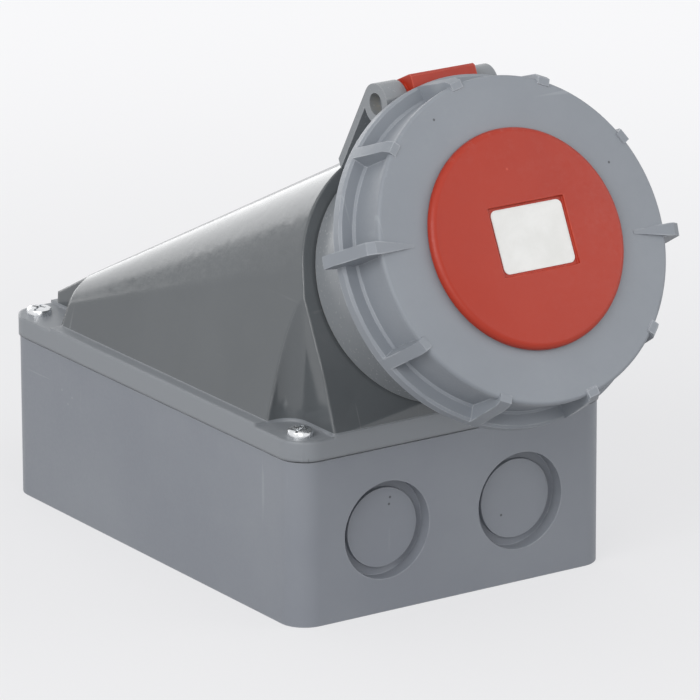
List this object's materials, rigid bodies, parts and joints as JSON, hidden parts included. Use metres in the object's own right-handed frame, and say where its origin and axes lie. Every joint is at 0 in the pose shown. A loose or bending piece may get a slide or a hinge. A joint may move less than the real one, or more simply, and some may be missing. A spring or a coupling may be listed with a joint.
{
  "type": "industrial wall socket",
  "caption": "Surface wall socket: deep back box, sloping hood and an inclined round socket closed by a hinged lid with a bayonet ring.",
  "frame": {"origin": "centre of the box's flat back, the face that lies on the wall", "axes": "+Z away from the wall, +X across the box, -Y towards the end that the mouth faces"},
  "size_m": [0.1204, 0.2317, 0.1735],
  "materials": {
    "box_plastic": "satin",
    "hood_plastic": "semi-gloss",
    "ring_plastic": "satin",
    "red_plastic": "semi-gloss",
    "carrier_plastic": "matt",
    "label_film": "satin",
    "black_rubber": "matt",
    "zinc_steel": "bright zinc",
    "spring_steel": "bright",
    "brass": "turned"
  },
  "bodies": {
    "root": {"base_box": "box_plastic", "cover_gasket": "black_rubber", "hood": "hood_plastic", "cover_screws": "zinc_steel", "threaded_inserts": "brass", "socket_housing": "hood_plastic", "housing_gasket": "black_rubber", "clamp_nut": "carrier_plastic", "hinge_pin": "brass", "hinge_spring": "spring_steel", "contact_carrier": "carrier_plastic", "terminal_screws": "zinc_steel", "retainer_plate": "carrier_plastic", "retainer_screws": "zinc_steel", "carrier_clip": "spring_steel", "phase_contact_1": "brass", "phase_contact_2": "brass", "phase_contact_3": "brass", "earth_contact": "brass", "pilot_contact": "brass"},
    "lid_assembly": {"lid": "red_plastic", "lid_cap": "red_plastic", "blank_label": "label_film", "lid_gasket": "black_rubber"},
    "ring": {"bayonet_ring": "ring_plastic"}
  },
  "joints": [
    {"name": "lid_hinge", "type": "hinge", "parent": "root", "child": "lid_assembly", "pos_m": [0, -0.07294, 0.1612], "axis": [-1, 0, 0], "range_deg": [0, 110], "stiffness_Nm_per_rad": 0.06, "springref_deg": -74.48},
    {"name": "ring_turn", "type": "hinge", "parent": "lid_assembly", "child": "ring", "pos_m": [0, -0.12302, 0.12654], "axis": [0, 0.9003, -0.4352], "range_deg": [0, 40]}
  ]
}
